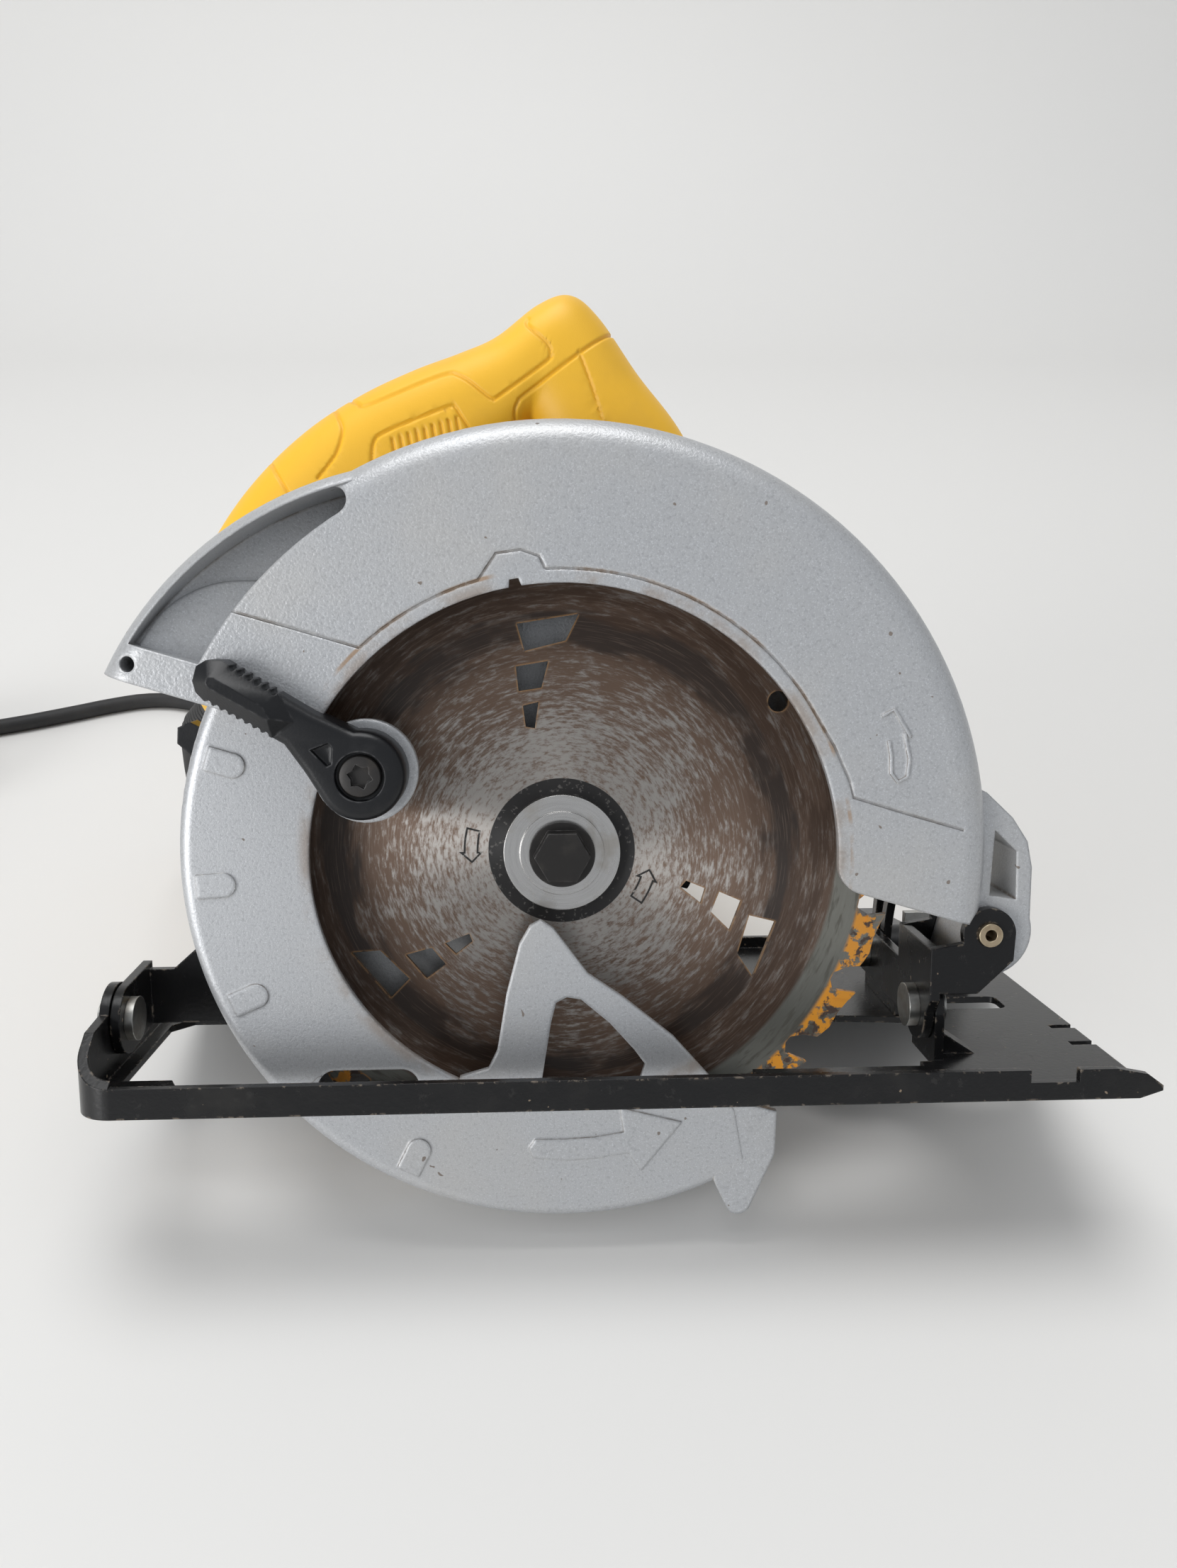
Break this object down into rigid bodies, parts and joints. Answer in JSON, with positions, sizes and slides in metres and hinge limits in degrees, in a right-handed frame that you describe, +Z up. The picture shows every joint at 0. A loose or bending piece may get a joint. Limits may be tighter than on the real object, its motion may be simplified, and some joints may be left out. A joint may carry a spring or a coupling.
{
  "type": "circular saw",
  "caption": "Corded hand-held circular saw with a cast upper guard, sprung lower guard, tilting shoe, loop handle, side motor and a mains lead.",
  "frame": {"origin": "middle of the box around the saw, without its lead, at floor level", "axes": "+X is the cutting direction, +Y runs from the blade side towards the motor, +Z is up; the saw leans back on its lower guard and the far edge of its shoe, as it stands on a floor"},
  "size_m": [0.5228, 0.3421, 0.2242],
  "materials": {
    "guard_casting": "silver paint over a fine-grained casting, scuffed, resin in the grooves",
    "black_paint": "satin black paint on pressed steel, chipped at edges",
    "yellow_plastic": "fine-textured moulded plastic with dust in the grooves",
    "black_plastic": "scuffed moulded plastic",
    "black_rubber": "matt rubber",
    "blade_steel": "ground steel with brown resin rings",
    "bearing_steel": "turned and ground",
    "zinc_steel": "dull zinc plating",
    "black_oxide": "black oxide, worn bright at the corners",
    "laminated_steel": "stacked laminations",
    "copper_winding": "enamelled copper wire",
    "sintered_bronze": "oil-filled bronze",
    "brass_pin": "dull rolled spring pin",
    "carbon": "pressed carbon"
  },
  "bodies": {
    "shoe": {"shoe_plate": "black_paint", "bevel_quadrant": "black_paint", "fence_clamp": "black_paint"},
    "fence_screw": {"fence_screw": "zinc_steel"},
    "bracket": {"front_yoke": "black_paint", "rear_bracket": "black_paint", "bevel_rivets": "zinc_steel", "bevel_bolt": "zinc_steel"},
    "bevel_lever": {"bevel_lever": "black_plastic"},
    "saw_body": {"upper_guard": "guard_casting", "guard_bumper": "black_rubber", "gear_case": "guard_casting", "retaining_ring": "zinc_steel", "spindle_bearing": "bearing_steel", "spindle_bush": "sintered_bronze", "depth_pin": "brass_pin", "depth_bolt": "zinc_steel", "depth_washer": "zinc_steel", "motor_housing": "yellow_plastic", "end_cap": "black_plastic", "field_stator": "laminated_steel", "brush_caps": "black_plastic", "carbon_brushes": "carbon", "motor_bearings": "bearing_steel", "case_screws": "zinc_steel", "motor_screws": "zinc_steel", "handle_left": "yellow_plastic", "handle_right": "yellow_plastic", "handle_screws": "zinc_steel", "switch": "black_plastic", "guard_spring": "zinc_steel", "cord_sleeve": "black_rubber", "cord_run": "black_rubber", "cord_coil": "black_rubber", "plug": "black_rubber"},
    "depth_lever": {"depth_lever": "black_plastic"},
    "trigger": {"trigger": "black_plastic"},
    "lock_off_button": {"lock_off_button": "black_plastic"},
    "spindle_lock": {"spindle_lock": "black_plastic"},
    "blade_group": {"spindle": "bearing_steel", "spindle_gear": "bearing_steel", "inner_washer": "bearing_steel", "blade": "blade_steel", "outer_washer": "zinc_steel", "blade_bolt": "black_oxide"},
    "armature": {"armature_shaft": "bearing_steel", "armature_core": "copper_winding", "commutator": "copper_winding", "fan": "black_plastic"},
    "lower_guard": {"lower_guard": "guard_casting", "guard_lever": "black_plastic", "lever_screw": "zinc_steel"}
  },
  "joints": [
    {"name": "bevel_tilt", "type": "hinge", "parent": "shoe", "child": "bracket", "pos_m": [-0.0139, -0.07214, 0.05455], "axis": [1, 0, 0], "range_deg": [0, 48]},
    {"name": "bevel_lever_turn", "type": "hinge", "parent": "bracket", "child": "bevel_lever", "pos_m": [0.0941, -0.02514, 0.0374], "axis": [1, 0, 0], "range_deg": [0, 60]},
    {"name": "fence_screw_turn", "type": "hinge", "parent": "shoe", "child": "fence_screw", "pos_m": [0.1117, -0.01363, 0.02322], "axis": [0, 0.3764, 0.9264], "range_deg": [-360, 360]},
    {"name": "depth_swing", "type": "hinge", "parent": "bracket", "child": "saw_body", "pos_m": [0.1008, -0.06333, 0.07623], "axis": [0, 0.9264, -0.3764], "range_deg": [-16.6, 16.4]},
    {"name": "depth_lever_turn", "type": "hinge", "parent": "saw_body", "child": "depth_lever", "pos_m": [-0.08822, -0.02657, 0.09764], "axis": [0, 0.9264, -0.3764], "range_deg": [0, 50]},
    {"name": "trigger_pull", "type": "slide", "parent": "saw_body", "child": "trigger", "axis": [-0.373, 0.3493, 0.8596], "range_m": [0, 0.005], "stiffness_N_per_m": 600, "springref_m": -0.002},
    {"name": "lock_off_press", "type": "slide", "parent": "saw_body", "child": "lock_off_button", "axis": [0, -0.9264, 0.3764], "range_m": [0, 0.003], "stiffness_N_per_m": 500, "springref_m": -0.002},
    {"name": "spindle_lock_press", "type": "slide", "parent": "saw_body", "child": "spindle_lock", "axis": [-0.9641, 0.0999, 0.2459], "range_m": [0, 0.0028], "stiffness_N_per_m": 600, "springref_m": -0.002},
    {"name": "blade_spin", "type": "hinge", "parent": "saw_body", "child": "blade_group", "pos_m": [-0.0139, -0.05506, 0.0966], "axis": [0, 0.9264, -0.3764], "continuous": true},
    {"name": "armature_spin", "type": "hinge", "parent": "saw_body", "child": "armature", "pos_m": [-0.01435, 0.0105, 0.09856], "axis": [0, 0.9264, -0.3764], "continuous": true},
    {"name": "lower_guard_swing", "type": "hinge", "parent": "saw_body", "child": "lower_guard", "pos_m": [-0.0139, -0.04626, 0.09302], "axis": [0, 0.9264, -0.3764], "range_deg": [0, 105], "stiffness_Nm_per_rad": 0.25, "springref_deg": -80.21}
  ],
  "couplings": [
    {"joint": "armature_spin", "follows": "blade_spin", "ratio": -4.8889}
  ]
}
